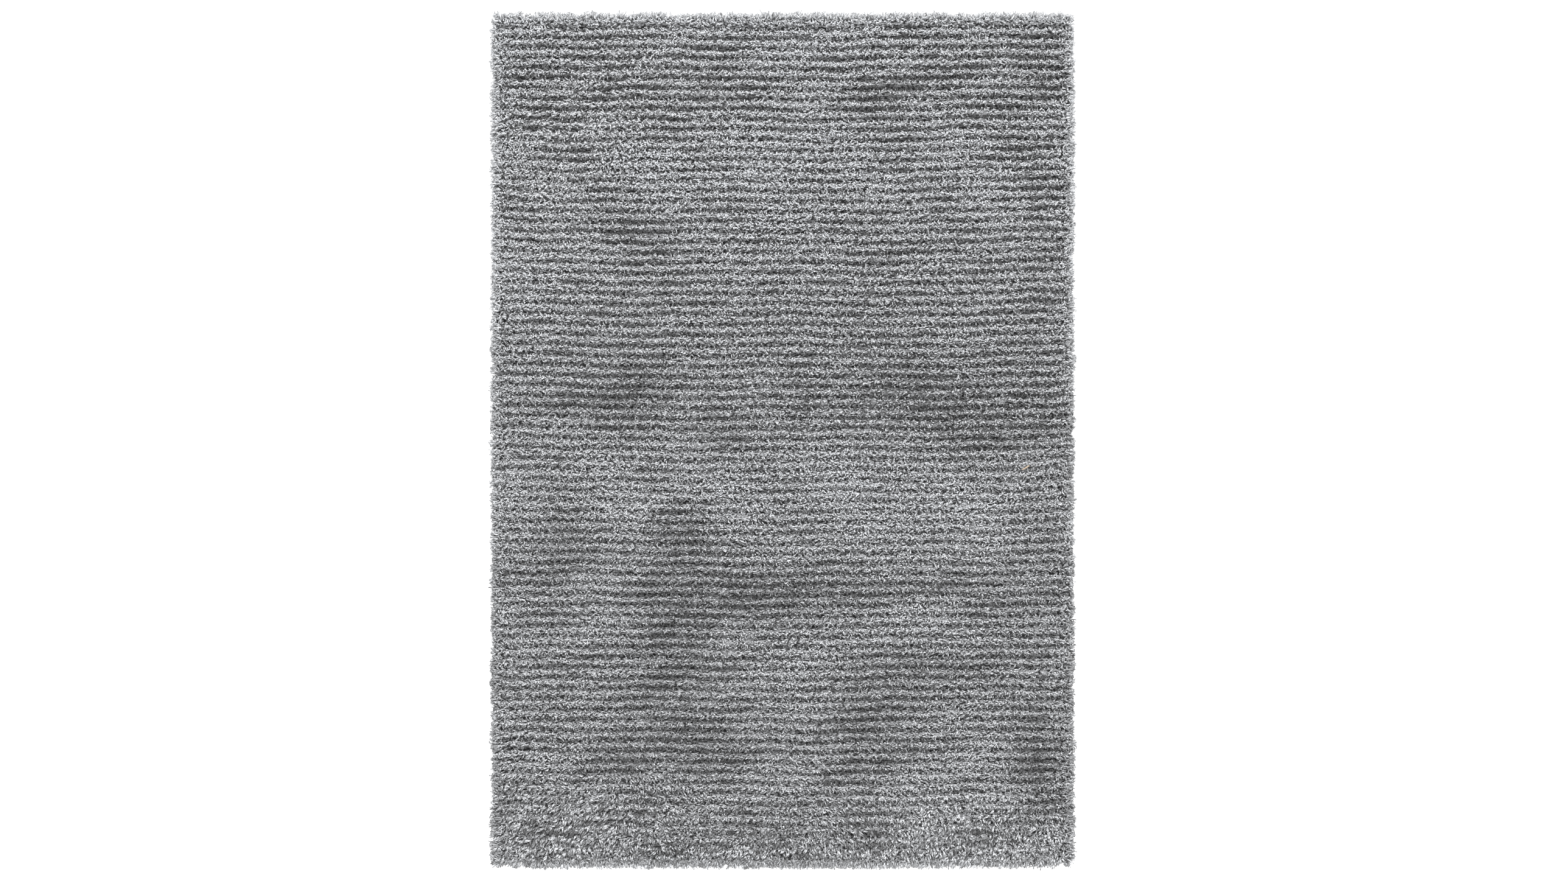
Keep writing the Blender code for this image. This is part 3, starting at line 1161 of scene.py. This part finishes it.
def bed_material():
    """Matted roots of the pile, paler curls between them, in painted shade that lifts on the crests."""
    material, shader, nodes, links = new_material("shaded_pile_roots")
    places = nodes.new("ShaderNodeTexCoord")
    stretch = nodes.new("ShaderNodeMapping")
    stretch.inputs["Scale"].default_value = BED_STRETCH
    links.new(places.outputs["Object"], stretch.inputs["Vector"])
    noise = link_noise(nodes, links, stretch.outputs[0], BED_CURLS)
    tone = link_ramp(nodes, links, BED_SHADED_TONES, noise)
    height = split_place(nodes, links, places.outputs["Object"])[2]
    # Painted shade in the furrows and painted light on the crests, by the bed's height.
    light = nodes.new("ShaderNodeMapRange")
    light.inputs["From Min"].default_value = BED_FURROW
    light.inputs["From Max"].default_value = BED_CREST
    light.inputs["To Min"].default_value = FURROW_LIGHT
    light.inputs["To Max"].default_value = CREST_LIGHT
    links.new(height, light.inputs["Value"])
    colour = link_product(nodes, links, tone, light.outputs[0])
    links.new(colour, shader.inputs["Base Color"])
    link_bump(nodes, links, shader, noise, strength=1.0, distance=0.003)
    shader.inputs["Roughness"].default_value = 0.95
    return material


def cloth_material():
    """Pale grey plain weave. Where a thread passes over it is round, with painted light on its top and
    painted shade at its sides.
    """
    material, shader, nodes, links = new_material("ground_cloth")
    places = nodes.new("ShaderNodeTexCoord")
    waves = []
    for place in split_place(nodes, links, places.outputs["Object"])[:2]:
        turn = link_math(nodes, links, "MULTIPLY", place, math.pi / THREAD_PITCH)
        waves.append(link_math(nodes, links, "SINE", turn))
    across, along = (link_math(nodes, links, "ABSOLUTE", wave) for wave in waves)
    over = link_math(nodes, links, "GREATER_THAN", link_math(nodes, links, "MULTIPLY", *waves), 0.0)
    thread = nodes.new("ShaderNodeMix")
    links.new(over, thread.inputs["Factor"])
    links.new(across, thread.inputs["A"])
    links.new(along, thread.inputs["B"])
    height = link_math(nodes, links, "POWER", thread.outputs["Result"], THREAD_ROUND)
    noise = link_noise(nodes, links, places.outputs["Object"], FUZZ, detail=6.0)
    fuzz = link_math(nodes, links, "ADD", noise, 0.5)
    # Painted shade at each thread's sides and light on its top, mixed with fuzz.
    tone = link_ramp(nodes, links, CLOTH_TONES_AND_SHADE, link_math(nodes, links, "MULTIPLY", height, fuzz))
    links.new(tone, shader.inputs["Base Color"])
    link_bump(nodes, links, shader, height, strength=0.7, distance=0.0008)
    shader.inputs["Roughness"].default_value = 0.9
    return material


def snip_material():
    """A tan snip of straw or thread, a little mottled."""
    material, shader, nodes, links = new_material("tan_snip")
    places = nodes.new("ShaderNodeTexCoord")
    noise = link_noise(nodes, links, places.outputs["Object"], MOTTLES)
    links.new(link_ramp(nodes, links, SNIP_TONES, noise), shader.inputs["Base Color"])
    shader.inputs["Roughness"].default_value = 0.8
    return material


# ---------------------------------------------------------------- the rug


def make_pile():
    """The pile on top in pieces, one after another along the rug, and the pile round the rim."""
    yarn = yarn_material()
    field = keep_inside(field_yarns())
    bent = rng.random(len(field.root)) < BENT_SHARE
    part = np.arange(len(field.root)) * PILE_PIECES // len(field.root)
    pieces = []
    for number in range(PILE_PIECES):
        here = part == number
        chosen = (pick(field, here & bent), pick(field, here & ~bent))
        pieces.append(pile_piece(f"pile_{number + 1}", *chosen, yarn))
    rim = keep_inside(rim_yarns())
    bent = rng.random(len(rim.root)) < BENT_SHARE
    pieces.append(pile_piece("pile_rim", pick(rim, bent), pick(rim, ~bent), yarn))
    return pieces


pile = make_pile()
bed = make_bed(bed_material())
cloth = make_cloth(cloth_material())
snip = make_snip(snip_material())
for piece in [*pile, bed, cloth, snip]:
    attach(piece, "root")
    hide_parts("rug")


# ---------------------------------------------------------------- stage, light and camera

# The photo's frame, and where the rug's middle lies in it.
PHOTO_WIDTH = 2576
PHOTO_HEIGHT = 1449
METRES_PER_PIXEL = 0.00166
RUG_MIDDLE_PIXEL = (1286.0, 723.0)
LENS = 50.0
SENSOR = 36.0
PILE_LEVEL = 0.030

# A soft light that leans from straight above towards the photo's top and turns a little, in degrees, and
# an even white surround. The floor lies just below the rug and glows enough to stay white.
KEY_STRENGTH = 3.2
KEY_SPREAD = 18
KEY_LEAN = -42
KEY_TURN = -8
SURROUND_STRENGTH = 1.72
FLOOR_SIZE = 14.0
FLOOR_LEVEL = -0.0005
FLOOR_WHITE = 0.9
FLOOR_GLOW = 0.45


def floor_material():
    """A plain white studio floor, lit so that it stays white round the rug."""
    material, shader, _, _ = new_material("floor_white")
    shader.inputs["Base Color"].default_value = (FLOOR_WHITE, FLOOR_WHITE, FLOOR_WHITE, 1)
    shader.inputs["Roughness"].default_value = 1.0
    shader.inputs["Emission Color"].default_value = (1, 1, 1, 1)
    shader.inputs["Emission Strength"].default_value = FLOOR_GLOW
    return material


def make_floor():
    """A wide floor, which is no part of the rug."""
    bpy.ops.mesh.primitive_plane_add(size=FLOOR_SIZE, location=(0, 0, FLOOR_LEVEL))
    floor = bpy.context.object
    floor.name = "floor"
    floor.data.materials.append(floor_material())


def make_camera():
    """Straight above the rug, with the photo's top at +Y."""
    data = bpy.data.cameras.new("camera")
    camera = bpy.data.objects.new("camera", data)
    bpy.context.scene.collection.objects.link(camera)
    data.lens = LENS
    data.sensor_width = SENSOR
    distance = PHOTO_WIDTH * METRES_PER_PIXEL * LENS / SENSOR
    x = (PHOTO_WIDTH / 2 - RUG_MIDDLE_PIXEL[0]) * METRES_PER_PIXEL
    y = (RUG_MIDDLE_PIXEL[1] - PHOTO_HEIGHT / 2) * METRES_PER_PIXEL
    camera.location = (x, y, PILE_LEVEL + distance)
    bpy.context.scene.camera = camera


def make_lights():
    """Soft light from the photo's top and an even white surround."""
    data = bpy.data.lights.new("key", "SUN")
    data.energy = KEY_STRENGTH
    data.angle = math.radians(KEY_SPREAD)
    key = bpy.data.objects.new("key", data)
    key.rotation_euler = (math.radians(KEY_LEAN), 0, math.radians(KEY_TURN))
    bpy.context.scene.collection.objects.link(key)
    world = bpy.data.worlds.new("studio")
    world.use_nodes = True
    background = world.node_tree.nodes["Background"]
    background.inputs["Color"].default_value = (1, 1, 1, 1)
    background.inputs["Strength"].default_value = SURROUND_STRENGTH
    bpy.context.scene.world = world


make_floor()
make_camera()
make_lights()
bpy.context.scene.view_settings.view_transform = "Standard"
